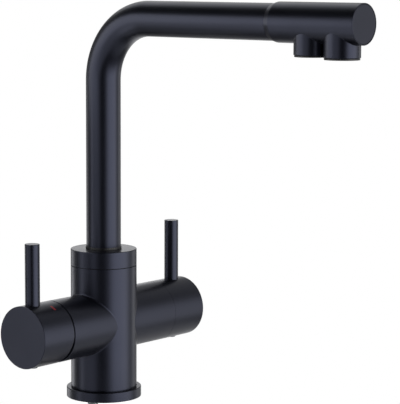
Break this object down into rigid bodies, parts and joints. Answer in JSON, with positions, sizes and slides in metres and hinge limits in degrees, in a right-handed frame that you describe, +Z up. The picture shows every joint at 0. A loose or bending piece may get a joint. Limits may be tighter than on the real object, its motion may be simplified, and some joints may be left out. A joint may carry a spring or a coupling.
{
  "type": "three way filtered water tap",
  "caption": "Matte black deck-mounted kitchen tap: a pin lever mixes hot and cold, another opens filtered water, and an L-shaped swivel spout gives each its own outlet.",
  "frame": {"origin": "On the worktop's surface, at the middle of the tap's base.", "axes": "+Z up along the column, -Y forward along the level spout, -X out along the mixer's arm, +X out along the filtered water's arm."},
  "size_m": [0.1723, 0.2575, 0.3553],
  "materials": {
    "matte_black": "matte powder coat on brass",
    "brass": "machined",
    "steel": "plain stainless",
    "rubber": "moulded",
    "dark_plastic": "moulded",
    "pale_plastic": "moulded",
    "ceramic": "lapped",
    "red_enamel": "filled enamel",
    "blue_enamel": "filled enamel"
  },
  "bodies": {
    "tap_body": {"body_casting": "matte_black", "base_ring": "matte_black", "base_gasket": "rubber", "fixing_stud": "steel", "horseshoe_gasket": "rubber", "horseshoe_plate": "steel", "fixing_nut": "brass", "cartridge_seal": "rubber", "cartridge_base": "pale_plastic", "cartridge_fixed_disc": "ceramic", "cartridge_housing": "pale_plastic", "cartridge_nut": "brass", "cartridge_dome": "matte_black", "filter_headwork": "brass", "filter_seat_seal": "rubber", "filter_fixed_disc": "ceramic", "filter_glide_ring": "pale_plastic", "spout_retaining_screw": "steel", "thrust_washer": "dark_plastic"},
    "mixer_turn": {"mixer_turret": "dark_plastic", "lever_pivot_pin": "steel"},
    "mixer_disc": {"cartridge_moving_disc": "ceramic"},
    "mixer_lever": {"mixer_spindle": "steel", "mixer_handle": "matte_black", "hot_mark": "red_enamel", "cold_mark": "blue_enamel", "mixer_lever_pin": "matte_black", "mixer_grub_screw": "steel", "mixer_screw_plug": "matte_black"},
    "filter_lever": {"filter_spindle": "brass", "filter_moving_disc": "ceramic", "spindle_clip": "steel", "filter_handle": "matte_black", "filter_lever_pin": "matte_black", "filter_grub_screw": "steel", "filter_screw_plug": "matte_black"},
    "spout": {"spout_bush": "brass", "lower_glide_ring": "pale_plastic", "lower_o_ring": "rubber", "upper_o_ring": "rubber", "upper_glide_ring": "pale_plastic", "swivel_collar": "matte_black", "collar_screw": "steel", "tube_foot_ring": "rubber", "spout_tube": "matte_black", "filter_inner_tube": "pale_plastic", "spout_head": "matte_black", "head_end_cap": "matte_black", "filter_elbow": "pale_plastic", "main_aerator_housing": "dark_plastic", "filter_nozzle_housing": "dark_plastic", "main_aerator_core": "pale_plastic", "filter_nozzle_core": "pale_plastic", "main_aerator_washer": "rubber", "filter_nozzle_washer": "rubber"}
  },
  "joints": [
    {"name": "spout_swivel", "type": "hinge", "parent": "tap_body", "child": "spout", "pos_m": [0, 0, 0.0981], "axis": [0, 0, 1], "range_deg": [-90, 90]},
    {"name": "mixer_temperature", "type": "hinge", "parent": "tap_body", "child": "mixer_turn", "pos_m": [-0.04, 0, 0.0557], "axis": [1, 0, 0], "range_deg": [-45, 45]},
    {"name": "mixer_flow", "type": "hinge", "parent": "mixer_turn", "child": "mixer_lever", "pos_m": [-0.04, 0, 0.0557], "axis": [0, -1, 0], "range_deg": [0, 10]},
    {"name": "disc_slide", "type": "slide", "parent": "mixer_turn", "child": "mixer_disc", "axis": [0, 0, 1], "range_m": [0, 0.0012]},
    {"name": "filter_turn", "type": "hinge", "parent": "tap_body", "child": "filter_lever", "pos_m": [0.06, 0, 0.0557], "axis": [1, 0, 0], "range_deg": [0, 90]}
  ],
  "couplings": [
    {"joint": "disc_slide", "follows": "mixer_flow", "m_per_rad": 0.0063}
  ]
}
